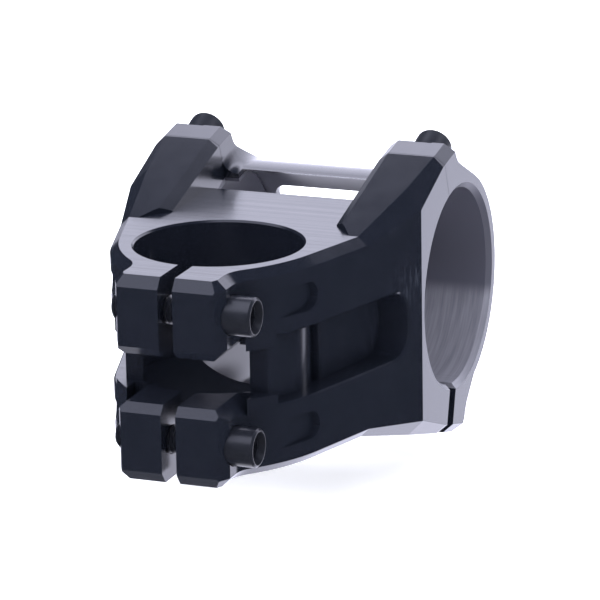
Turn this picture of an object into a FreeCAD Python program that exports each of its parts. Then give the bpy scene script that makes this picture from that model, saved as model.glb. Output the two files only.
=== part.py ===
"""Bicycle handlebar stem: one machined body, a faceplate and six M5 socket-head bolts.

Frame: the origin is on the steerer axis at half the stack height. X points forward to the
handlebar, Y points to the rider's left and Z points up the steerer. Millimetres.
"""

import FreeCAD, Part
import math
import os

from FreeCAD import Vector

# Driving dimensions
STEERER_R = 14.3          # half of a 28.6 mm steerer tube
BAR_R = 17.5              # half of a 35 mm handlebar
REACH = 45.0              # steerer axis to bar axis, no rise
STACK = 35.3              # height of the steerer clamp
CLAMP_HALF = 27.0         # half the width of the bar clamp

# Steerer end
HALF = STACK / 2
EAR_BACK = -23.5          # rear face of the ears
EAR_HALF = 9.8            # half the width across the ears
EAR_BEVEL = (1.0, 1.4)    # upright bevel on each rear corner, along X and Y
REAR_CUT = (1.45, 1.9)    # bevel along the top and bottom rear edges, along X and Z
SLIT = 2.6                # clamp slit between the ears
SLIT_FRONT = -10.0        # the slit ends inside the bore
EAR_GAP = 8.3             # open height between the upper and the lower pair of ears
GAP_FRONT = -11.0         # the gap opens the barrel as far forward as this
EAR_CORNER = 1.9          # 45 degree cuts on the corners beside the gap
GAP_CUT = (1.3, 1.5)      # bevel along the gap's rear edges, along X and Z
BARREL_R = 15.4           # barrel round the steerer between the two rings
BORE_BREAK = 0.35         # small bevel at both ends of the steerer bore
RELIEF = 0.3              # each bore is this much wider in radius between its two clamping rings

# Flanks, seen from above: ear side, notch for the bolt heads, shoulder, straight flank
NOTCH_ANGLE = 45.0        # steepest part of the notch, from the X axis
SHOULDER_R = 28.9
FLANK_START = -3.0        # the shoulder ends and the straight flank begins
FLANK_ANGLE = 16.85       # spread of each straight flank from the X axis
FLANK_END = 25.4          # the flank meets the flat side of the bar clamp
EDGE_BEVEL = 1.5          # bevel along the top and bottom outer edges

# Pocket in each flank, between the two rings
POCKET_HALF = 5.9
POCKET_END = 21.8
POCKET_R = 4.2
PANEL_ANGLE = 13.0        # the pocket floor flares from the X axis by this
PANEL_OFF = 14.9          # distance of the pocket floor from the steerer axis
VALLEY = (4.6, 2.2, 2.2)  # groove behind the barrel: start, width and depth along the floor
LEDGE = 1.25              # length of the narrow ledge along X at the rear of the pocket floor
RIM_BREAK = 0.3           # bevel round the pocket's rim
CORE_R = 10.4             # round hole from the bar clamp through to the steerer bore
CORE_Z = -1.1             # height of its axis

# Cutter slot beside each clamp bolt head, with a flat floor that runs out at the rear
SLOT_HALF = 2.45
SLOT_END = -2.4
SLOT_REAR = -14.0
SLOT_ANGLE = 16.2         # the floor flares from the X axis by this
SLOT_FLOOR = (-1.7, 17.5) # a point on the floor, X and Y

# Bar clamp bosses
BOSS_IN = 15.1            # inner side of each boss
RAMP_X = 10.6             # the bosses rise from the top and bottom planes here
RAMP_TOP = 0.29           # slope of the upper ramp
RAMP_LOW = 0.277          # slope of the lower ramp
CAP_X = 37.06             # rear edge of the upper cap, on the seam
CAP_FRONT = 42.6
CAP_SLOPE = 0.19
CAP_NOSE = (44.0, 24.0)   # front edge of the cap, then a hollow down to the shell
CAP_HOLLOW = ((44.7, 23.05), (46.2, 22.0))
LOW_X = 45.4              # front end of the lower ramp
LOW_HOLLOW = ((49.0, -22.5), (48.2, -23.8), (47.6, -25.2))
SHELL_LOW = -66.0         # angle where the shell meets the lower hollow
SIDE_CUT = (1.75, 1.7)    # bevel on the outer corner of each boss, along Y and Z
SIDE_Z = 18.9             # height of that bevel's lower edge where the flank ends
INNER_CUT = (1.7, 1.4)    # bevel on the inner corner, along Y and Z
SADDLE_X = 32.9           # front of the body between the bosses
SPACER_R = 22.0           # flat kept clear round the steerer for a spacer

# Faceplate
SHELL_R = 20.2            # outside of the faceplate beside the window
BRIDGE_R = 19.45          # outside of the bars above and below the window
BRIDGE_END = 100.0        # the bridges end at this angle from the front
BRIDGE_THIN = 84.0        # their rear edges are cut away below, from here on the bore
WINDOW_ANGLE = 44.0       # the window ends at this angle from the front
WINDOW_HALF = 13.4
WINDOW_R = 3.0
COVE_R = 2.7              # fillet between each bridge and the inner sides of the bosses
FRONT_BLEND = 26.57       # angle of the upper front slope
BORE_BEVEL = 0.9          # bevel on both ends of the bar bore
SEAM_GAP = 0.1            # the upper faceplate lands rest on the body
LOWER_GAP = 3.2           # open slit below the bar

# Split lines, as a point (x, z) and the tilt from upright
SEAM_TOP = (39.98, 17.67, 19.0)
SEAM_LOW = (41.4, -17.85, 15.1)

# Bolts, M5
BOLT_R = 2.45
THREAD_R = 2.5
CLEAR_R = 2.75
HEAD_R = 3.3
HEAD_LEN = 5.0
HEAD_BREAK = 0.35
TIP_BREAK = 0.7
SOCKET = 4.0              # across the flats
SOCKET_DEPTH = 2.6
FUNNEL = (2.8, 2.35, 1.2)     # lead-in of the socket: radius at the face, radius below, depth
FACE_BOLT_LEN = 18.0
FACE_BOLT_Y = 21.5
FACE_SEAT_TOP = (5.1, 3.8)    # ahead of the split line, and out along it
FACE_SEAT_LOW = (5.9, 3.9)
SPOT_R = 3.9              # spot face round each faceplate bolt head
CLAMP_BOLT = (-18.7, 11.2)    # X, and height above and below the middle
CLAMP_BOLT_LEN = 20.0
CLAMP_SEAT = 9.1          # seat of the heads, out from the middle plane
CLAMP_SPOT_R = 3.45       # recess each of these heads sits in

FAR = 80.0
BEVEL_REACH = 6.0         # size of the cutters for the bevels
BEVEL_SPARE = 3.0         # how far they run on past each end


def box(x0, x1, y0, y1, z0, z1):
    return Part.makeBox(x1 - x0, y1 - y0, z1 - z0, Vector(x0, y0, z0))


def rod(start, direction, radius, length):
    return Part.makeCylinder(radius, length, Vector(*start), Vector(*direction))


def wire(points):
    """Closed wire through points; a point given as ("arc", via, end) makes an arc."""
    edges = []
    here = Vector(*points[0])
    for item in points[1:]:
        if item[0] == "arc":
            via = Vector(*item[1])
            end = Vector(*item[2])
            edges.append(Part.Arc(here, via, end).toShape())
        else:
            end = Vector(*item)
            edges.append(Part.makeLine(here, end))
        here = end
    first = Vector(*points[0])
    if here.distanceToPoint(first) > 1e-6:
        edges.append(Part.makeLine(here, first))
    return Part.Wire(edges)


def prism(points, direction):
    return Part.Face(wire(points)).extrude(Vector(*direction))


def mirror_y(shape):
    return shape.mirror(Vector(0, 0, 0), Vector(0, 1, 0))


def cut_all(shape, tools):
    for tool in tools:
        shape = shape.cut(tool)
    return shape


def plan_points(sign):
    """Half outline from the rear to the front of the clamp, seen from above."""
    def at(x, y):
        return (x, sign * y, 0)
    steep = math.radians(NOTCH_ANGLE)
    flank = math.radians(FLANK_ANGLE)
    start_y = CLAMP_HALF - (FLANK_END - FLANK_START) * math.tan(flank)
    centre_x = FLANK_START + SHOULDER_R * math.sin(flank)
    centre_y = start_y - SHOULDER_R * math.cos(flank)

    def shoulder(angle):
        return at(centre_x - SHOULDER_R * math.sin(angle), centre_y + SHOULDER_R * math.cos(angle))
    foot_x = centre_x - SHOULDER_R * math.sin(steep)
    foot_y = centre_y + SHOULDER_R * math.cos(steep)
    notch_r = (foot_y - EAR_HALF) / (1 - math.cos(steep))
    notch_x = foot_x - notch_r * math.sin(steep)

    def notch(angle):
        return at(notch_x + notch_r * math.sin(angle), EAR_HALF + notch_r - notch_r * math.cos(angle))
    return [
        at(EAR_BACK, EAR_HALF - EAR_BEVEL[1]),
        at(EAR_BACK + EAR_BEVEL[0], EAR_HALF),
        notch(0.0),
        ("arc", notch(steep / 2), notch(steep)),
        ("arc", shoulder((steep + flank) / 2), shoulder(flank)),
        at(FLANK_END, CLAMP_HALF),
        at(REACH + FAR / 2, CLAMP_HALF),
    ]


def reverse_points(points):
    """Same outline walked the other way."""
    plain = []
    for item in points:
        plain.append(item[2] if item[0] == "arc" else item)
    out = [plain[-1]]
    for i in range(len(points) - 1, 0, -1):
        if points[i][0] == "arc":
            out.append(("arc", points[i][1], plain[i - 1]))
        else:
            out.append(plain[i - 1])
    return out


def plan():
    """Tall prism with the outline seen from above."""
    outline = plan_points(1) + reverse_points(plan_points(-1))
    shape = prism(outline, (0, 0, 2 * FAR))
    shape.translate(Vector(0, 0, -FAR))
    return shape


def side_profile(y0, y1):
    """Outline of the clamp bosses seen from the side, body and faceplate in one."""
    top = math.radians(90 - FRONT_BLEND)
    tangent = (REACH + SHELL_R * math.cos(top), SHELL_R * math.sin(top))
    low = math.radians(SHELL_LOW)
    lower = (REACH + SHELL_R * math.cos(low), SHELL_R * math.sin(low))
    cap_z = HALF + RAMP_TOP * (CAP_X - RAMP_X)
    low_z = -HALF - RAMP_LOW * (LOW_X - RAMP_X)
    points = [
        (RAMP_X, HALF), (CAP_X, cap_z),
        (CAP_FRONT, cap_z + CAP_SLOPE * (CAP_FRONT - CAP_X)),
        CAP_NOSE, ("arc",) + CAP_HOLLOW,
        tangent, ("arc", (REACH + SHELL_R, 0), lower),
        LOW_HOLLOW[0], ("arc",) + LOW_HOLLOW[1:],
        (LOW_X, low_z), (RAMP_X, -HALF),
    ]

    def lift(point):
        return (point[0], y0, point[1])
    lifted = []
    for item in points:
        if item[0] == "arc":
            lifted.append(("arc", lift(item[1]), lift(item[2])))
        else:
            lifted.append(lift(item))
    return prism(lifted, (0, y1 - y0, 0))


def bevel(start, end, across):
    """Cutter for a bevel: its lower edge runs from start to end, across leads up its face."""
    push = Vector(*end) - Vector(*start)
    spare = push * (BEVEL_SPARE / push.Length)
    start = Vector(*start) - spare
    push = push + spare * 2
    across = Vector(*across)
    outward = push.cross(across)
    if outward.z * across.z < 0:
        outward = outward * -1
    outward = outward * (BEVEL_REACH / outward.Length)
    across = across * (BEVEL_REACH / across.Length)
    corners = [start - across, start + across, start + across + outward, start - across + outward]
    return prism([tuple(c) for c in corners], push)


def clamp_bosses():
    """The two side blocks of the bar clamp, still in one piece."""
    block = side_profile(BOSS_IN, CLAMP_HALF)
    flank = math.radians(FLANK_ANGLE)
    root_y = CLAMP_HALF - (FLANK_END - RAMP_X) * math.tan(flank)
    reach = CAP_FRONT + BEVEL_REACH
    for up, ramp, cap_slope in ((1, RAMP_TOP, CAP_SLOPE), (-1, RAMP_LOW, RAMP_LOW)):
        top = HALF + ramp * (CAP_X - RAMP_X)
        root = Vector(RAMP_X, root_y, up * (HALF - EDGE_BEVEL))
        knee = Vector(FLANK_END, CLAMP_HALF, up * SIDE_Z)
        shoulder = Vector(CAP_X, CLAMP_HALF, up * (top - SIDE_CUT[1]))
        nose = Vector(reach, CLAMP_HALF, shoulder.z + up * cap_slope * (reach - CAP_X))
        side = (0, -SIDE_CUT[0], up * SIDE_CUT[1])
        edge = (0, -EDGE_BEVEL / math.cos(flank), up * EDGE_BEVEL)
        block = block.cut(bevel(root, knee + (knee - root) / 2, edge))
        block = block.cut(bevel(knee - (shoulder - knee), shoulder, side))
        block = block.cut(bevel(shoulder, nose, side))
        inner = (0, INNER_CUT[0], up * INNER_CUT[1])
        foot = Vector(0, BOSS_IN, up * (HALF - ramp * RAMP_X - INNER_CUT[1]))
        crown = Vector(CAP_X, BOSS_IN, up * (top - INNER_CUT[1]))
        brow = Vector(reach, BOSS_IN, crown.z + up * cap_slope * (reach - CAP_X))
        block = block.cut(bevel(foot, crown, inner))
        block = block.cut(bevel(crown, brow, inner))
    return block.fuse(mirror_y(block))


def tilted_side(spec, offset, forward):
    """Big block in front of, or behind, a split line. offset moves the line forward."""
    x, z, tilt = spec
    lean = math.radians(tilt)
    up = 1 if z > 0 else -1
    along = Vector(-math.sin(lean), 0, up * math.cos(lean))
    normal = Vector(math.cos(lean), 0, up * math.sin(lean))
    back = 30.0 if forward else 6.0
    foot = Vector(x, 0, z) + normal * offset - along * back
    head = foot + along * (back + 24.0)
    push = normal * (FAR if forward else -FAR)
    points = [tuple(foot), tuple(head), tuple(head + push), tuple(foot + push)]
    block = prism(points, (0, 2 * FAR, 0))
    block.translate(Vector(0, -FAR, 0))
    return block


def front_space(top_offset, low_offset):
    """Everything in front of both split lines."""
    upper = tilted_side(SEAM_TOP, top_offset, True)
    lower = tilted_side(SEAM_LOW, low_offset, True)
    middle = box(SEAM_LOW[0], FAR * 2, -FAR, FAR, -13, 13)
    upper = upper.common(box(-FAR, 3 * FAR, -FAR, FAR, 0, FAR))
    lower = lower.common(box(-FAR, 3 * FAR, -FAR, FAR, -FAR, 0))
    return upper.fuse(lower).fuse(middle)


def rear_space():
    """Everything behind both split lines."""
    upper = tilted_side(SEAM_TOP, 0.0, False)
    lower = tilted_side(SEAM_LOW, -LOWER_GAP / 2, False)
    upper = upper.common(box(-FAR, 3 * FAR, -FAR, FAR, 12, FAR))
    lower = lower.common(box(-FAR, 3 * FAR, -FAR, FAR, -FAR, -12))
    middle = box(-FAR, 38.0, -FAR, FAR, -12, 12)
    return upper.fuse(lower).fuse(middle)


def bar_bore():
    """Handlebar bore: a bevel at both ends, and wider between the two side rings."""
    wide = BAR_R + BORE_BEVEL
    bore = rod((REACH, -FAR / 2, 0), (0, 1, 0), BAR_R, FAR)
    cone = Part.makeCone(BAR_R, wide + 1, BORE_BEVEL + 1,
                         Vector(REACH, CLAMP_HALF - BORE_BEVEL, 0), Vector(0, 1, 0))
    relief = rod((REACH, -BOSS_IN, 0), (0, 1, 0), BAR_R + RELIEF, 2 * BOSS_IN)
    return bore.fuse(cone).fuse(mirror_y(cone)).fuse(relief)


def steerer_bore():
    """Steerer bore: small bevels, wider between the two rings, and the slit between the ears."""
    bore = rod((0, 0, -FAR / 2), (0, 0, 1), STEERER_R, FAR)
    cone = Part.makeCone(STEERER_R, STEERER_R + BORE_BREAK + 1, BORE_BREAK + 1,
                         Vector(0, 0, HALF - BORE_BREAK), Vector(0, 0, 1))
    flip = cone.mirror(Vector(0, 0, 0), Vector(0, 0, 1))
    relief = rod((0, 0, -POCKET_HALF), (0, 0, 1), STEERER_R + RELIEF, 2 * POCKET_HALF)
    slit = box(EAR_BACK - 5, SLIT_FRONT, -SLIT / 2, SLIT / 2, -FAR / 2, FAR / 2)
    return bore.fuse(cone).fuse(flip).fuse(relief).fuse(slit)


def bolt_axis(spec, seat, side):
    """Seat point and outward direction of a faceplate bolt."""
    x, z, tilt = spec
    lean = math.radians(tilt)
    up = 1 if z > 0 else -1
    direction = Vector(math.cos(lean), 0, up * math.sin(lean))
    along = Vector(-math.sin(lean), 0, up * math.cos(lean))
    foot = Vector(x, side * FACE_BOLT_Y, z)
    return foot + direction * seat[0] + along * seat[1], direction


def face_bolt_axes():
    axes = {}
    for side, hand in ((1, "left"), (-1, "right")):
        axes["upper_" + hand] = bolt_axis(SEAM_TOP, FACE_SEAT_TOP, side)
        axes["lower_" + hand] = bolt_axis(SEAM_LOW, FACE_SEAT_LOW, side)
    return axes


def clamp_bolt_axes():
    x, z = CLAMP_BOLT
    seat = -CLAMP_SEAT
    return {
        "upper": (Vector(x, seat, z), Vector(0, -1, 0)),
        "lower": (Vector(x, seat, -z), Vector(0, -1, 0)),
    }


def behind_floor(sign, angle, point):
    """Everything inside an upright floor that passes through point and flares from X."""
    turn = math.radians(angle)
    along = Vector(math.cos(turn), sign * math.sin(turn), 0)
    inward = Vector(math.sin(turn), -sign * math.cos(turn), 0)
    base = Vector(point[0], sign * point[1], -FAR)
    corners = [base - along * FAR, base + along * FAR]
    corners += [corners[1] + inward * FAR, corners[0] + inward * FAR]
    return prism([tuple(c) for c in corners], (0, 0, 2 * FAR))


def pocket(sign):
    """Pocket in one flank, open to the rear gap, round at its front end."""
    half = POCKET_HALF
    end = POCKET_END
    r = POCKET_R
    flat = r * (1 - math.sqrt(0.5))
    shape = prism([
        (GAP_FRONT, 0, -half), (end - r, 0, -half),
        ("arc", (end - flat, 0, -half + flat), (end, 0, -half + r)), (end, 0, half - r),
        ("arc", (end - flat, 0, half - flat), (end - r, 0, half)), (GAP_FRONT, 0, half),
    ], (0, sign * FAR, 0))
    angle = math.radians(PANEL_ANGLE)
    along = Vector(math.cos(angle), sign * math.sin(angle), 0)
    out = Vector(-math.sin(angle), sign * math.cos(angle), 0)
    base = out * PANEL_OFF
    inner = behind_floor(sign, PANEL_ANGLE, (base.x, PANEL_OFF * math.cos(angle)))
    first = base + along * VALLEY[0]
    second = first + along * VALLEY[1]
    ledge_y = second.y * sign + LEDGE * math.tan(angle)
    ledge = box(second.x, second.x + LEDGE, 0, ledge_y, -half, half)
    inner = inner.fuse(ledge if sign > 0 else mirror_y(ledge))
    drop = Vector(0, 0, half)
    groove = prism([
        tuple(first - drop), tuple(second - drop),
        tuple(second - out * VALLEY[2] - drop), tuple(first - out * VALLEY[2] - drop),
    ], (0, 0, 2 * half))
    barrel = rod((0, 0, -FAR), (0, 0, 1), BARREL_R, 2 * FAR)
    return shape.cut(inner).fuse(groove).cut(barrel)


def bolt_slots():
    """Cutter slots along the flanks beside the clamp bolts."""
    slots = []
    for z in (CLAMP_BOLT[1], -CLAMP_BOLT[1]):
        centre = SLOT_END - SLOT_HALF
        for sign in (1, -1):
            bar = box(SLOT_REAR, centre, 0, FAR, z - SLOT_HALF, z + SLOT_HALF)
            shape = bar.fuse(rod((centre, 0, z), (0, 1, 0), SLOT_HALF, FAR))
            if sign < 0:
                shape = mirror_y(shape)
            slots.append(shape.cut(behind_floor(sign, SLOT_ANGLE, SLOT_FLOOR)))
    return slots


def ear_cutters():
    """Bevels on the ears, and the gap between the two pairs."""
    tools = []
    half_gap = EAR_GAP / 2
    back = EAR_BACK
    dx, dz = REAR_CUT
    for up in (1, -1):
        tools.append(prism([
            (back - 1, -FAR, up * (HALF - dz * (1 + 1 / dx))),
            (back + dx + 1, -FAR, up * (HALF + dz / dx)),
            (back - 1, -FAR, up * (HALF + dz / dx)),
        ], (0, 2 * FAR, 0)))
        tools.append(prism([
            (back - 1, -FAR, up * (half_gap + GAP_CUT[1] * (1 + 1 / GAP_CUT[0]))),
            (back + GAP_CUT[0] + 1, -FAR, up * (half_gap - GAP_CUT[1] / GAP_CUT[0])),
            (back - 1, -FAR, up * (half_gap - GAP_CUT[1] / GAP_CUT[0])),
        ], (0, 2 * FAR, 0)))
        for side in (1, -1):
            c = EAR_CORNER
            y = side * EAR_HALF
            tools.append(prism([
                (back - 1, y - side * c, up * half_gap), (back - 1, y + side, up * half_gap),
                (back - 1, y + side, up * (half_gap + c + 1)),
                (back - 1, y, up * (half_gap + c)),
            ], (GAP_FRONT - back, 0, 0)))
    tools.append(box(back - 1, GAP_FRONT, -FAR, FAR, -half_gap, half_gap))
    return tools


def bevelled_slab(whole):
    """The body between the top and bottom planes, its outer edges bevelled."""
    slab = whole.common(box(-FAR, SADDLE_X, -FAR, FAR, -HALF, HALF))
    edges = []
    for edge in slab.Edges:
        middle = edge.valueAt((edge.FirstParameter + edge.LastParameter) / 2)
        level = all(abs(abs(v.Z) - HALF) < 1e-6 for v in edge.Vertexes)
        if level and EAR_BACK + 0.1 < middle.x < SADDLE_X - 0.1:
            edges.append(edge)
    return slab.makeChamfer(EDGE_BEVEL, edges)


def break_pockets(body):
    """Bevel the pockets' rims, where they open in the straight flanks."""
    flank = math.tan(math.radians(FLANK_ANGLE))
    rims = []
    for edge in body.Edges:
        span = edge.LastParameter - edge.FirstParameter
        points = [edge.valueAt(edge.FirstParameter + span * part) for part in (0.1, 0.5, 0.9)]
        outer = [CLAMP_HALF - (FLANK_END - p.x) * flank for p in points]
        near = all(abs(abs(p.y) - y) < 1e-4 for p, y in zip(points, outer))
        inside = all(abs(p.z) < POCKET_HALF + 1e-6 for p in points)
        if near and inside and points[1].x > FLANK_START:
            rims.append(edge)
    return body.makeChamfer(RIM_BREAK, rims)


def make_body():
    whole = plan()
    bosses = clamp_bosses().common(whole)
    clear = rod((0, 0, HALF), (0, 0, 1), SPACER_R, FAR)
    clear = clear.fuse(rod((0, 0, -HALF), (0, 0, -1), SPACER_R, FAR))
    bosses = bosses.cut(clear)
    body = bevelled_slab(whole).fuse(bosses.common(rear_space()))
    cutters = [bar_bore(), steerer_bore(), rod((0, 0, CORE_Z), (1, 0, 0), CORE_R, REACH)]
    cutters += ear_cutters()
    cutters += [pocket(1), pocket(-1)]
    cutters += bolt_slots()
    body = cut_all(body, cutters)
    for seat, direction in face_bolt_axes().values():
        depth = FACE_BOLT_LEN + 1.5
        body = body.cut(rod(tuple(seat), tuple(direction * -1), THREAD_R, depth))
    for seat, direction in clamp_bolt_axes().values():
        head_side = rod((seat.x, 0, seat.z), (0, -1, 0), CLEAR_R, FAR / 2)
        tail_side = rod((seat.x, 0, seat.z), (0, 1, 0), THREAD_R, FAR / 2)
        body = body.cut(head_side).cut(tail_side).cut(rod(tuple(seat), tuple(direction), CLAMP_SPOT_R, FAR))
    return break_pockets(body.removeSplitter())


def bar_bridges():
    """The shell between the two rings, thinned from below along its rear edges."""
    shell = rod((REACH, -BOSS_IN, 0), (0, 1, 0), BRIDGE_R, 2 * BOSS_IN)
    end = math.radians(BRIDGE_END)
    thin = math.radians(BRIDGE_THIN)
    edge = (REACH + BRIDGE_R * math.cos(end), BRIDGE_R * math.sin(end))
    inside = (REACH + BAR_R * math.cos(thin), BAR_R * math.sin(thin))
    rear = REACH - BRIDGE_R - 1
    behind = prism([
        (rear, -FAR, -edge[1]), (edge[0], -FAR, -edge[1]), (inside[0], -FAR, -inside[1]),
        (inside[0], -FAR, inside[1]), (edge[0], -FAR, edge[1]), (rear, -FAR, edge[1]),
    ], (0, 2 * FAR, 0))
    beyond = box(rear, edge[0], -FAR, FAR, -FAR, FAR)
    return shell.cut(behind).cut(beyond)


def bridge_coves():
    """Fillets between the bridges and the inner sides of the bosses, trimmed to their profile."""
    inner = BOSS_IN - COVE_R
    bend = COVE_R * (1 - math.sqrt(0.5))
    face = Part.Face(wire([
        (REACH, inner, BAR_R), (REACH, inner, BRIDGE_R),
        ("arc", (REACH, BOSS_IN - bend, BRIDGE_R + bend), (REACH, BOSS_IN, BRIDGE_R + COVE_R)),
        (REACH, BOSS_IN, BAR_R),
    ]))
    ring = face.revolve(Vector(REACH, 0, 0), Vector(0, 1, 0), 360)
    cove = ring.common(side_profile(inner, BOSS_IN))
    return cove.fuse(mirror_y(cove))


def make_faceplate():
    bosses = clamp_bosses().common(plan())
    bridges = bar_bridges()
    front = front_space(SEAM_GAP, LOWER_GAP / 2)
    coves = bridge_coves().common(front)
    plate = bosses.common(front).fuse(bridges).fuse(coves)
    plate = plate.cut(bar_bore())
    high = BAR_R * math.sin(math.radians(WINDOW_ANGLE))
    window = box(REACH, REACH + 40, -WINDOW_HALF, WINDOW_HALF, -high, high)
    corners = [e for e in window.Edges if abs(e.Vertexes[0].Z - e.Vertexes[-1].Z) < 1e-6
               and abs(e.Vertexes[0].Y - e.Vertexes[-1].Y) < 1e-6]
    plate = plate.cut(window.makeFillet(WINDOW_R, corners))
    for seat, direction in face_bolt_axes().values():
        plate = plate.cut(rod(tuple(seat), tuple(direction), SPOT_R, FAR / 2))
        plate = plate.cut(rod(tuple(seat + direction), tuple(direction * -1), CLEAR_R, FAR / 4))
    return plate.removeSplitter()


def make_bolt(seat, direction, length):
    """Socket-head screw: the head sits on the seat and points along direction."""
    head = Part.makeCylinder(HEAD_R, HEAD_LEN, Vector(0, 0, 0), Vector(0, 0, 1))
    rim = [e for e in head.Edges if len(e.Vertexes) == 1 and e.Vertexes[0].Z > HEAD_LEN / 2]
    head = head.makeChamfer(HEAD_BREAK, rim)
    corner = SOCKET / math.sqrt(3)
    points = []
    for i in range(6):
        angle = math.radians(60 * i)
        top = HEAD_LEN + 1
        points.append((corner * math.cos(angle), corner * math.sin(angle), top))
    socket = prism(points, (0, 0, -SOCKET_DEPTH - 1))
    shank = Part.makeCylinder(BOLT_R, length, Vector(0, 0, -length), Vector(0, 0, 1))
    tip = [e for e in shank.Edges if len(e.Vertexes) == 1 and e.Vertexes[0].Z < -length / 2]
    shank = shank.makeChamfer(TIP_BREAK, tip)
    mouth, throat, funnel = FUNNEL
    lead_in = Part.makeCone(throat, mouth, funnel, Vector(0, 0, HEAD_LEN - funnel), Vector(0, 0, 1))
    bolt = head.cut(socket).cut(lead_in).fuse(shank).removeSplitter()
    turn = FreeCAD.Rotation(Vector(0, 0, 1), direction)
    bolt.Placement = FreeCAD.Placement(seat, turn)
    return bolt


def main():
    os.makedirs("parts", exist_ok=True)
    nodes = {"stem_body": make_body(), "faceplate": make_faceplate()}
    for name, (seat, direction) in face_bolt_axes().items():
        nodes["faceplate_bolt_" + name] = make_bolt(seat, direction, FACE_BOLT_LEN)
    for name, (seat, direction) in clamp_bolt_axes().items():
        nodes["steerer_bolt_" + name] = make_bolt(seat, direction, CLAMP_BOLT_LEN)
    for name, shape in nodes.items():
        print(name, len(shape.Solids), "solid", round(shape.Volume, 1), "mm3", shape.isValid())
        shape.exportStep("parts/" + name + ".step")


main()
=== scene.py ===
"""Looks for the handlebar stem: anodised finishes, threaded bolts, studio and camera."""

import math

import bpy
from mathutils import Matrix, Vector

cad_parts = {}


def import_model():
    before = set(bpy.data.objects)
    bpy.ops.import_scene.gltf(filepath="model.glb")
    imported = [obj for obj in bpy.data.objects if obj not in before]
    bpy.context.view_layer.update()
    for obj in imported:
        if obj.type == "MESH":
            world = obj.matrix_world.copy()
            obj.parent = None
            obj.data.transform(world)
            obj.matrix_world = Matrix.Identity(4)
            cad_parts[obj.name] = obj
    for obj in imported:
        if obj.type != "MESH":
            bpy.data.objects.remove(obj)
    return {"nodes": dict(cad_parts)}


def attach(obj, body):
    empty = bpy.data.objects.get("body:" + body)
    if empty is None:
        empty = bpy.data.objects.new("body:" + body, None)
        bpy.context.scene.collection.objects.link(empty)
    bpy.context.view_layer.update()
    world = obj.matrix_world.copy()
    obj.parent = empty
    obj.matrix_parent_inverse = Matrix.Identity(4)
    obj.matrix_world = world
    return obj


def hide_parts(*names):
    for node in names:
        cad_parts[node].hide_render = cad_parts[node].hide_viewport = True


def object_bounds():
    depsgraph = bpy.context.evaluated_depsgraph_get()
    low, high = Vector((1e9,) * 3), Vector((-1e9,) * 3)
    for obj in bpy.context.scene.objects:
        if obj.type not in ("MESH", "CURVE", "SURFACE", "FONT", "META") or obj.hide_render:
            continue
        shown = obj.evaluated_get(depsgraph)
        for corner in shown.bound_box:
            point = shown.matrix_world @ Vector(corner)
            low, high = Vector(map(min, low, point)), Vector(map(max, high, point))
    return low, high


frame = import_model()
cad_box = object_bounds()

MM = 0.001

# Camera, in the object's frame
VIEW_AZIMUTH = math.radians(-68.68)
VIEW_ELEVATION = math.radians(16.38)
VIEW_ROLL = math.radians(-1.0)
VIEW_DISTANCE = 683.4 * MM
VIEW_TARGET = Vector((18.57, -7.18, 3.09)) * MM
LENS = 238.5
SENSOR = 36.0
CLIP_START = 0.01
CLIP_END = 50.0

# Surroundings: the colour of each region, its direction, and the pair of cosines, or of
# heights on the unit sphere, between which its edge fades
DARK = (0.030, 0.034, 0.050, 1)
PANEL = (1.15, 1.18, 1.50, 1)
PANEL_TOWARD = (-0.26, 0.35, 0.90)
PANEL_EDGE = (0.76, 0.92)
BELOW = (1.35, 1.36, 1.60, 1)
BELOW_TOWARD = (0.43, 0.35, -0.83)
BELOW_EDGE = (0.92, 0.985)
WALL = (1.75, 1.76, 2.15, 1)
WALL_HIGH = (2.7, 2.7, 3.3, 1)
WALL_TOWARD = (1.0, 0.0, 0.0)
WALL_EDGE = (0.80, 0.92)
WALL_HIGH_EDGE = (0.50, 0.56)
WALL_TOP = (0.62, 0.70)

# Floor and lights, in metres and watts
FLOOR_DROP = 4.0 * MM     # room for the lower bolts, which come out downwards
FLOOR_HALF = 6.0
PAPER = (0.9, 0.9, 0.9, 1)
PAPER_GLOW = (0.95, 0.96, 1.0, 1)
PAPER_GLOW_STRENGTH = 0.45
LIGHT_TINT = (0.93, 0.94, 1.0)
OVERHEAD_HEIGHT = 2.5
OVERHEAD_SIZE = (7.0, 7.0)
OVERHEAD_POWER = 420
SIDE_DISTANCE = 2.2
SIDE_HEIGHT = 0.7
SIDE_SIZE = (2.4, 1.0)
SIDE_POWER = 26

# Anodised finish: where each kind of surface is
BAR_AXIS_X = 45.0 * MM
BORE_LIMIT = 18.45 * MM
BORE_FADE = 0.02 * MM
LEVEL_EDGE = (0.985, 0.995)
FLANK_FROM = (0.92, 0.95)
FLANK_TO = (0.965, 0.985)
FLANK_X = (2 * MM, 22 * MM)
# heights over which painted light fades in towards the bottom of the bar bore
LOWER_BORE_LIGHT_Z = (-7.0 * MM, -4.0 * MM)

# Anodised finish: noise, as its scale and detail, or as scales along X, Y and Z and detail
MOTTLE = (260.0, 4.0)
GRAIN = (2600.0, 3.0)
LINES = (1500.0, 1.0)
BANDS = (620.0, 1.0)
PATCHES = (120.0, 1.0)
CUSPS = ((2000.0, 40.0, 330.0), 2.0)
STREAKS = ((90.0, 2600.0, 160.0), 3.0)
MILLED_EDGE = (0.34, 0.66)
SCUFF_EDGE = (0.50, 0.64)
PATCH_EDGE = (0.44, 0.62)

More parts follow.
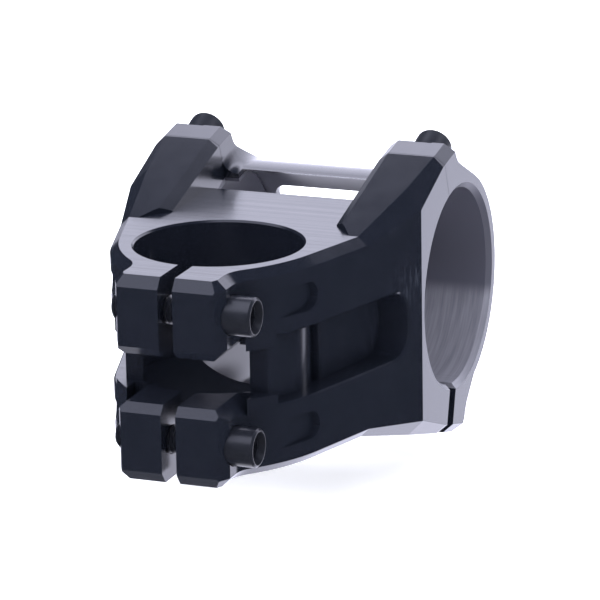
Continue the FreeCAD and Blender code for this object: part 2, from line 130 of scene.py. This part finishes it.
# Anodised finish: colours, roughness, gloss and relief
BLACK_TONES = ((0.0050, 0.0062, 0.0100, 1), (0.0078, 0.0094, 0.0145, 1))
# bar bore tones: the plain one, and a lighter one that is painted light on the bore's lower part
BORE_TONES = ((0.050, 0.050, 0.068, 1), (0.19, 0.19, 0.22, 1))
SCUFF_TONE = (0.018, 0.021, 0.029, 1)
ROUGH = 0.13
ROUGH_MOTTLE = 0.06
ROUGH_BORE = 0.24
ROUGH_LINES = 0.10
LINE_SHARE = 0.6
BAND_SHARE = 0.4
BAND_DEPTH = 1.2
PLAIN_SHARE = 0.5         # stands for the lines and bands where there are none
INDEX = 1.53
INDEX_SPREAD = 0.24
MARK_RELIEF = 0.006 * MM
MILLED_STRENGTH = 0.6
CUSP_STRENGTH = 0.5
GRAIN_RELIEF = 0.0010 * MM
GRAIN_STRENGTH = 0.5

# Bolt finish
STEEL_TONES = ((0.006, 0.007, 0.010, 1), (0.011, 0.012, 0.017, 1))
STEEL_MOTTLE = (700.0, 3.0)
STEEL_GRAIN = (1800.0, 2.0)
STEEL_ROUGH = 0.26
STEEL_ROUGH_SPREAD = 0.08
STEEL_INDEX = 1.64
STEEL_RELIEF = 0.0006 * MM
STEEL_STRENGTH = 0.4

# Bolts, in millimetres: seats, tilts of their axes in degrees, and the M5 socket head
STEERER_SEAT = (-18.7, -9.1, 11.2)
UPPER_SEAT = (43.565, 21.5, 22.923)
UPPER_TILT = 19.0
LOWER_SEAT = (46.080, 21.5, -23.152)
LOWER_TILT = -15.1
STEERER_LENGTH = 20.0
PLATE_LENGTH = 18.0
HEAD_R = 3.3
HEAD_LENGTH = 5.0
HEAD_BREAK = 0.35
SEAT_BREAK = 0.12
MOUTH_R = 2.8
THROAT_R = 2.35
FUNNEL = 1.2
SOCKET_FLAT = 2.0
SOCKET_DEPTH = 2.6
CENTRE_R = 0.02           # radius of the small disc that closes each end of the mesh

# Thread, in millimetres
THREAD_R = 2.45
ROOT_R = 2.08
TIP_R = 1.75
PITCH = 0.8
THREAD_START = 0.4
FLANK_RISE = 2.6          # depth gained per turn away from the crest, as a share of the whole
CREST_SHARE = 0.15        # taken off that, which leaves the crest flat
RINGS_PER_PITCH = 6
AROUND = 48
SMOOTH_ANGLE = math.radians(32)
ASIDE = Vector((0.3, 0.2, 0.9))   # any direction away from every bolt's axis


def camera():
    """A long lens behind and to the right of the stem, a little above it."""
    back = Vector((
        math.sin(VIEW_AZIMUTH) * math.cos(VIEW_ELEVATION),
        -math.cos(VIEW_AZIMUTH) * math.cos(VIEW_ELEVATION),
        math.sin(VIEW_ELEVATION),
    ))
    right = Vector((0, 0, 1)).cross(back).normalized()
    up = back.cross(right)
    turn = Matrix((right, up, back)).transposed() @ Matrix.Rotation(VIEW_ROLL, 3, "Z")
    data = bpy.data.cameras.new("camera")
    data.lens = LENS
    data.sensor_width = SENSOR
    data.clip_start = CLIP_START
    data.clip_end = CLIP_END
    made = bpy.data.objects.new("camera", data)
    place = VIEW_TARGET + back * VIEW_DISTANCE
    made.matrix_world = Matrix.Translation(place) @ turn.to_4x4()
    bpy.context.scene.collection.objects.link(made)
    bpy.context.scene.camera = made


class Tree:
    """Short names for building a node tree."""

    def __init__(self, tree):
        self.nodes = tree.nodes
        self.links = tree.links

    def feed(self, socket, value):
        """Link a socket to another node's output, or set its value."""
        if hasattr(value, "is_output"):
            self.links.new(value, socket)
        else:
            socket.default_value = value

    def math(self, operation, a, b):
        node = self.nodes.new("ShaderNodeMath")
        node.operation = operation
        self.feed(node.inputs[0], a)
        self.feed(node.inputs[1], b)
        return node.outputs[0]

    def add(self, a, b):
        return self.math("ADD", a, b)

    def times(self, a, b):
        return self.math("MULTIPLY", a, b)

    def size(self, value):
        return self.math("ABSOLUTE", value, 0.0)

    def vector(self, operation, a, b=(0.0, 0.0, 0.0)):
        node = self.nodes.new("ShaderNodeVectorMath")
        node.operation = operation
        self.feed(node.inputs[0], a)
        self.feed(node.inputs[1], b)
        plain = operation in ("DOT_PRODUCT", "LENGTH")
        return node.outputs["Value"] if plain else node.outputs[0]

    def split(self, vector):
        node = self.nodes.new("ShaderNodeSeparateXYZ")
        self.feed(node.inputs[0], vector)
        return node.outputs[0], node.outputs[1], node.outputs[2]

    def join(self, x, y, z):
        node = self.nodes.new("ShaderNodeCombineXYZ")
        for socket, value in zip(node.inputs, (x, y, z)):
            self.feed(socket, value)
        return node.outputs[0]

    def rise(self, value, edge, start=0.0, end=1.0):
        """Smooth step from start to end as value crosses the edge, a low and a high limit."""
        node = self.nodes.new("ShaderNodeMapRange")
        node.interpolation_type = "SMOOTHSTEP"
        self.feed(node.inputs["Value"], value)
        node.inputs["From Min"].default_value = edge[0]
        node.inputs["From Max"].default_value = edge[1]
        node.inputs["To Min"].default_value = start
        node.inputs["To Max"].default_value = end
        return node.outputs[0]

    def fall(self, value, edge):
        return self.rise(value, edge, 1.0, 0.0)

    def mix(self, factor, a, b):
        """Blend of two colours."""
        node = self.nodes.new("ShaderNodeMix")
        node.data_type = "RGBA"
        self.feed(node.inputs["Factor"], factor)
        self.feed(node.inputs[6], a)
        self.feed(node.inputs[7], b)
        return node.outputs[2]

    def mix_value(self, factor, a, b):
        """Blend of two numbers."""
        node = self.nodes.new("ShaderNodeMix")
        self.feed(node.inputs[0], factor)
        self.feed(node.inputs[2], a)
        self.feed(node.inputs[3], b)
        return node.outputs[0]

    def noise(self, vector, scale, detail):
        """Noise of one size in every direction, or stretched where scale is a triple."""
        if isinstance(scale, tuple):
            vector = self.vector("MULTIPLY", vector, scale)
            scale = 1.0
        return self.noise_node("3D", "Vector", vector, scale, detail)

    def noise_along(self, value, scale, detail):
        """Noise that changes along one coordinate only."""
        return self.noise_node("1D", "W", value, scale, detail)

    def noise_node(self, dimensions, socket, value, scale, detail):
        node = self.nodes.new("ShaderNodeTexNoise")
        node.noise_dimensions = dimensions
        self.feed(node.inputs[socket], value)
        node.inputs["Scale"].default_value = scale
        node.inputs["Detail"].default_value = detail
        return node.outputs[0]

    def bump(self, height, distance, strength, normal=None):
        node = self.nodes.new("ShaderNodeBump")
        self.feed(node.inputs["Height"], height)
        node.inputs["Distance"].default_value = distance
        node.inputs["Strength"].default_value = strength
        if normal is not None:
            self.feed(node.inputs["Normal"], normal)
        return node.outputs[0]


def world():
    """Dark surroundings with a bright wall ahead of the stem and a panel above and below."""
    made = bpy.data.worlds.new("studio")
    made.use_nodes = True
    made.node_tree.nodes.clear()
    t = Tree(made.node_tree)
    out = t.nodes.new("ShaderNodeOutputWorld")
    back = t.nodes.new("ShaderNodeBackground")
    ray = t.nodes.new("ShaderNodeTexCoord").outputs["Generated"]
    x, y, z = t.split(ray)
    level = t.vector("NORMALIZE", t.join(x, y, 0.0))
    ahead = t.rise(t.vector("DOT_PRODUCT", level, WALL_TOWARD), WALL_EDGE)
    wall = t.times(ahead, t.fall(z, WALL_TOP))
    panel = t.rise(t.vector("DOT_PRODUCT", ray, PANEL_TOWARD), PANEL_EDGE)
    below = t.rise(t.vector("DOT_PRODUCT", ray, BELOW_TOWARD), BELOW_EDGE)
    colour = t.mix(panel, DARK, PANEL)
    colour = t.mix(below, colour, BELOW)
    colour = t.mix(wall, colour, t.mix(t.rise(z, WALL_HIGH_EDGE), WALL, WALL_HIGH))
    t.links.new(colour, back.inputs["Color"])
    t.links.new(back.outputs[0], out.inputs["Surface"])
    bpy.context.scene.world = made


def area_light(name, place, size, power):
    """A soft light that faces the origin and isn't seen in reflections."""
    data = bpy.data.lights.new(name, "AREA")
    data.shape = "RECTANGLE"
    data.size = size[0]
    data.size_y = size[1]
    data.energy = power
    data.color = LIGHT_TINT
    made = bpy.data.objects.new(name, data)
    place = Vector(place)
    made.location = place
    made.rotation_euler = (Vector((0, 0, 0)) - place).to_track_quat("-Z", "Y").to_euler()
    made.visible_glossy = False
    bpy.context.scene.collection.objects.link(made)


def studio():
    """Plain pale floor, and soft lights on it and on the stem."""
    low = cad_box[0][2] - FLOOR_DROP
    half = FLOOR_HALF
    mesh = bpy.data.meshes.new("floor")
    corners = [(-half, -half, low), (half, -half, low), (half, half, low), (-half, half, low)]
    mesh.from_pydata(corners, [], [(0, 1, 2, 3)])
    floor = bpy.data.objects.new("floor", mesh)
    bpy.context.scene.collection.objects.link(floor)
    material = bpy.data.materials.new("floor_paper")
    material.use_nodes = True
    shader = material.node_tree.nodes["Principled BSDF"]
    shader.inputs["Base Color"].default_value = PAPER
    shader.inputs["Roughness"].default_value = 1.0
    shader.inputs["Specular IOR Level"].default_value = 0.0
    shader.inputs["Emission Color"].default_value = PAPER_GLOW
    shader.inputs["Emission Strength"].default_value = PAPER_GLOW_STRENGTH
    mesh.materials.append(material)
    floor.visible_glossy = False
    area_light("overhead", (0, 0, OVERHEAD_HEIGHT), OVERHEAD_SIZE, OVERHEAD_POWER)
    for name, x, y in (("ahead", 1, 0), ("left", 0, 1), ("right", 0, -1), ("behind", -1, 0)):
        place = (x * SIDE_DISTANCE, y * SIDE_DISTANCE, SIDE_HEIGHT)
        area_light(name, place, SIDE_SIZE, SIDE_POWER)


def new_material(name):
    """A material, its node tree, its shader and the object's coordinates."""
    made = bpy.data.materials.new(name)
    made.use_nodes = True
    t = Tree(made.node_tree)
    place = t.nodes.new("ShaderNodeTexCoord").outputs["Object"]
    return made, t, t.nodes["Principled BSDF"], place


def anodised(name):
    """Black anodised machined aluminium: semi-gloss, with cutter marks; satin in the bar bore,
    with painted light on its lower part.
    """
    made, t, shader, place = new_material(name)
    facing = t.nodes.new("ShaderNodeNewGeometry").outputs["True Normal"]
    x, y, z = t.split(place)
    ny, nz = t.split(facing)[1:]
    radius = t.vector("LENGTH", t.join(t.math("SUBTRACT", x, BAR_AXIS_X), 0.0, z))
    bore = t.fall(radius, (BORE_LIMIT - BORE_FADE, BORE_LIMIT))
    level = t.rise(t.size(nz), LEVEL_EDGE)
    slant = t.size(ny)
    flank = t.times(t.rise(slant, FLANK_FROM), t.fall(slant, FLANK_TO))
    flank = t.times(flank, t.rise(x, FLANK_X))

    mottle = t.noise(place, *MOTTLE)
    lines = t.noise_along(x, *LINES)
    bands = t.noise_along(x, *BANDS)
    cusps = t.noise(place, *CUSPS)

    tone = t.mix(mottle, *BLACK_TONES)
    # painted light: the bar bore turns lighter towards the bottom, broken into streaks
    lower_bore_light = t.times(t.fall(z, LOWER_BORE_LIGHT_Z), t.noise(place, *STREAKS))
    tone = t.mix(bore, tone, t.mix(lower_bore_light, *BORE_TONES))
    scuffs = t.times(flank, t.rise(cusps, SCUFF_EDGE))
    patches = t.rise(t.noise(place, *PATCHES), PATCH_EDGE)
    tone = t.mix(t.times(scuffs, patches), tone, SCUFF_TONE)
    t.feed(shader.inputs["Base Color"], tone)

    rough = t.add(t.times(mottle, ROUGH_MOTTLE), ROUGH)
    rough = t.add(rough, t.times(bore, ROUGH_BORE))
    rough = t.add(rough, t.times(t.times(level, lines), ROUGH_LINES))
    t.feed(shader.inputs["Roughness"], rough)

    milled = t.add(t.times(lines, LINE_SHARE), t.times(bands, BAND_SHARE))
    milled = t.mix_value(level, PLAIN_SHARE, t.rise(milled, MILLED_EDGE))
    t.feed(shader.inputs["IOR"], t.add(t.times(milled, INDEX_SPREAD), INDEX))

    ridges = t.times(level, t.add(lines, t.times(bands, BAND_DEPTH)))
    normal = t.bump(ridges, MARK_RELIEF, MILLED_STRENGTH)
    normal = t.bump(t.times(flank, cusps), MARK_RELIEF, CUSP_STRENGTH, normal)
    normal = t.bump(t.noise(place, *GRAIN), GRAIN_RELIEF, GRAIN_STRENGTH, normal)
    t.feed(shader.inputs["Normal"], normal)
    return made


def black_steel(name):
    """Black-oxide steel, smooth, with slightly uneven gloss."""
    made, t, shader, place = new_material(name)
    mottle = t.noise(place, *STEEL_MOTTLE)
    t.feed(shader.inputs["Base Color"], t.mix(mottle, *STEEL_TONES))
    t.feed(shader.inputs["Roughness"], t.add(t.times(mottle, STEEL_ROUGH_SPREAD), STEEL_ROUGH))
    shader.inputs["IOR"].default_value = STEEL_INDEX
    normal = t.bump(t.noise(place, *STEEL_GRAIN), STEEL_RELIEF, STEEL_STRENGTH)
    t.feed(shader.inputs["Normal"], normal)
    return made


def even(radius):
    return [radius] * AROUND


def hexagon():
    """Radii of the socket's six flats."""
    step = 2 * math.pi / AROUND
    sixth = math.pi / 3
    return [SOCKET_FLAT / math.cos((i * step) % sixth - sixth / 2) for i in range(AROUND)]


def thread_radius(place, turn):
    """Radius of the thread at a distance below the seat, in turns round the axis."""
    phase = (place / PITCH + turn) % 1.0
    depth = min(1.0, max(0.0, abs(phase - 0.5) * FLANK_RISE - CREST_SHARE))
    return THREAD_R - (THREAD_R - ROOT_R) * depth


def bolt_rings(length):
    """Height above the seat and radii of each ring, from the socket's floor to the tip."""
    floor = HEAD_LENGTH - SOCKET_DEPTH
    throat = HEAD_LENGTH - FUNNEL
    rings = [(floor, even(CENTRE_R)), (floor, hexagon()), (throat, hexagon())]
    rings += [(throat, even(THROAT_R)), (HEAD_LENGTH, even(MOUTH_R))]
    rings += [(HEAD_LENGTH, even(HEAD_R - HEAD_BREAK)), (HEAD_LENGTH - HEAD_BREAK, even(HEAD_R))]
    rings += [(SEAT_BREAK, even(HEAD_R)), (0.0, even(HEAD_R - SEAT_BREAK)), (0.0, even(ROOT_R))]
    steps = int((length - THREAD_START) / (PITCH / RINGS_PER_PITCH))
    for k in range(steps + 1):
        place = THREAD_START + k * PITCH / RINGS_PER_PITCH
        limit = TIP_R + max(0.0, length - place)
        radii = [min(limit, thread_radius(place, i / AROUND)) for i in range(AROUND)]
        rings.append((-place, radii))
    rings += [(-length, even(TIP_R)), (-length, even(CENTRE_R))]
    return rings


def bolt(node, seat, direction, length, material):
    """A socket-head bolt with its thread cut, in place of the plain one."""
    axis = Vector(direction).normalized()
    across = axis.cross(ASIDE).normalized()
    other = axis.cross(across)
    rings = bolt_rings(length)
    points = []
    for height, radii in rings:
        for i, radius in enumerate(radii):
            turn = 2 * math.pi * i / AROUND
            out = across * math.cos(turn) + other * math.sin(turn)
            points.append((Vector(seat) + axis * height + out * radius) * MM)
    faces = []
    for k in range(len(rings) - 1):
        for i in range(AROUND):
            j = (i + 1) % AROUND
            a, b = k * AROUND, (k + 1) * AROUND
            faces.append((a + i, b + i, b + j, a + j))
    faces.append(tuple(range(AROUND)))
    last = (len(rings) - 1) * AROUND
    faces.append(tuple(last + i for i in reversed(range(AROUND))))
    mesh = bpy.data.meshes.new(node + "_threaded")
    mesh.from_pydata(points, [], faces)
    mesh.materials.append(material)
    for face in mesh.polygons:
        face.use_smooth = True
    mesh.set_sharp_from_angle(angle=SMOOTH_ANGLE)
    made = bpy.data.objects.new(node + "_threaded", mesh)
    bpy.context.scene.collection.objects.link(made)
    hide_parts(node)
    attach(made, node)


def bolts(material):
    """All six bolts on their seats."""
    for name, up in (("upper", 1), ("lower", -1)):
        x, y, z = STEERER_SEAT
        bolt("steerer_bolt_" + name, (x, y, up * z), (0, -1, 0), STEERER_LENGTH, material)
    pairs = (("upper", UPPER_SEAT, UPPER_TILT), ("lower", LOWER_SEAT, LOWER_TILT))
    for name, seat, tilt in pairs:
        lean = math.radians(tilt)
        direction = (math.cos(lean), 0, math.sin(lean))
        for hand, side in (("left", 1), ("right", -1)):
            place = (seat[0], side * seat[1], seat[2])
            bolt("faceplate_bolt_" + name + "_" + hand, place, direction, PLATE_LENGTH, material)


def dress(node, material):
    """Give a CAD node its material."""
    piece = frame["nodes"][node]
    for slot in piece.material_slots:
        slot.material = material
    if not piece.material_slots:
        piece.data.materials.append(material)


def finishes():
    """Materials on every CAD node, and the threaded bolts."""
    machined = {"stem_body": anodised("anodised_body"), "faceplate": anodised("anodised_plate")}
    steel = black_steel("bolt_steel")
    for node in frame["nodes"]:
        dress(node, machined.get(node, steel))
    bolts(steel)


camera()
world()
studio()
finishes()
view = bpy.context.scene.view_settings
view.view_transform = "Standard"
bpy.context.scene.cycles.use_denoising = True
